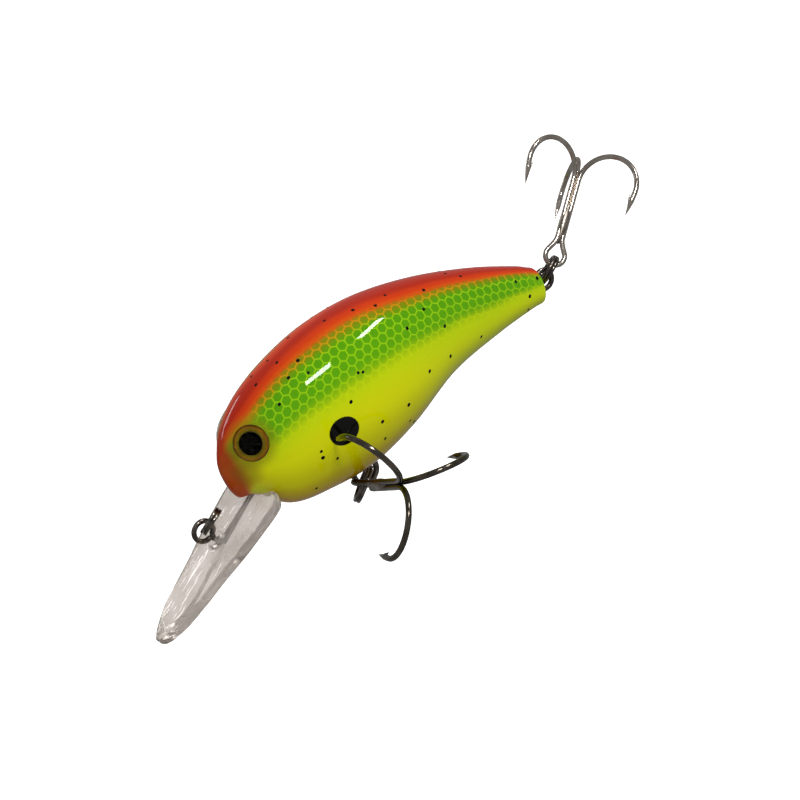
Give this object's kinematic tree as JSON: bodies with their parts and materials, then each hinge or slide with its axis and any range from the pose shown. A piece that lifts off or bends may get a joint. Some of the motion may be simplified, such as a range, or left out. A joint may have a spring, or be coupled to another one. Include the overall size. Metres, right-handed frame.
{
  "type": "crankbait lure",
  "caption": "Rounded hollow fishing lure with a long clear diving lip, wire line tie, split rings and swinging treble hooks at belly and tail.",
  "frame": {"origin": "centre of the line-tie wire eye, where the line pulls", "axes": "+X from the nose to the tail, +Z from the belly to the back, +Y to the lure's right flank, so the left flank faces -Y"},
  "size_m": [0.0941, 0.035, 0.0395],
  "materials": {
    "painted_body": "sprayed pattern under clear gloss",
    "clear_lip": "clear polished",
    "black_nickel_wire": "black nickel plate",
    "black_nickel_ring": "black nickel plate",
    "black_nickel_hook": "black nickel plate",
    "plated_braze": "plated over with the hook",
    "eye_foil": "printed foil",
    "eye_lens": "clear domed",
    "ballast_steel": "plain",
    "ball_steel": "polished"
  },
  "bodies": {
    "lure_body": {"left_body_shell": "painted_body", "right_body_shell": "painted_body", "diving_lip": "clear_lip", "line_tie_wire": "black_nickel_wire", "belly_hanger": "black_nickel_wire", "tail_hanger": "black_nickel_wire", "left_eye_foil": "eye_foil", "left_eye_lens": "eye_lens", "right_eye_foil": "eye_foil", "right_eye_lens": "eye_lens", "ballast_weight": "ballast_steel"},
    "line_tie_ring": {"line_tie_split_ring": "black_nickel_ring"},
    "belly_ring": {"belly_split_ring": "black_nickel_ring"},
    "belly_hook": {"belly_double_hook": "black_nickel_hook", "belly_single_hook": "black_nickel_hook", "belly_hook_braze": "plated_braze"},
    "tail_ring": {"tail_split_ring": "black_nickel_ring"},
    "tail_hook": {"tail_double_hook": "black_nickel_hook", "tail_single_hook": "black_nickel_hook", "tail_hook_braze": "plated_braze"},
    "front_rattle": {"front_rattle_ball": "ball_steel"},
    "rear_rattle": {"rear_rattle_ball": "ball_steel"}
  },
  "joints": [
    {"name": "line_tie_ring_swing", "type": "hinge", "parent": "lure_body", "child": "line_tie_ring", "pos_m": [0, 0, 0], "axis": [0, 1, 0], "range_deg": [-200, 20]},
    {"name": "belly_ring_swing", "type": "hinge", "parent": "lure_body", "child": "belly_ring", "pos_m": [0.0264, 0, -0.00442], "axis": [0, 1, 0], "range_deg": [-75, 0]},
    {"name": "belly_hook_swing", "type": "hinge", "parent": "belly_ring", "child": "belly_hook", "pos_m": [0.02499, -0.00112, -0.00553], "axis": [0.621, -0.509, -0.596], "range_deg": [0, 120]},
    {"name": "tail_ring_swing", "type": "hinge", "parent": "lure_body", "child": "tail_ring", "pos_m": [0.06336, 0, 0.00846], "axis": [0, 1, 0], "range_deg": [-45, 60]},
    {"name": "tail_hook_swing", "type": "hinge", "parent": "tail_ring", "child": "tail_hook", "pos_m": [0.06502, 0.00069, 0.0091], "axis": [-0.5071, 0.4811, 0.7151], "range_deg": [-25, 105]},
    {"name": "front_rattle_roll", "type": "slide", "parent": "lure_body", "child": "front_rattle", "axis": [0, 1, 0], "range_m": [-0.0044, 0.0044]},
    {"name": "rear_rattle_roll", "type": "slide", "parent": "lure_body", "child": "rear_rattle", "axis": [0, 1, 0], "range_m": [-0.0033, 0.0033]}
  ]
}
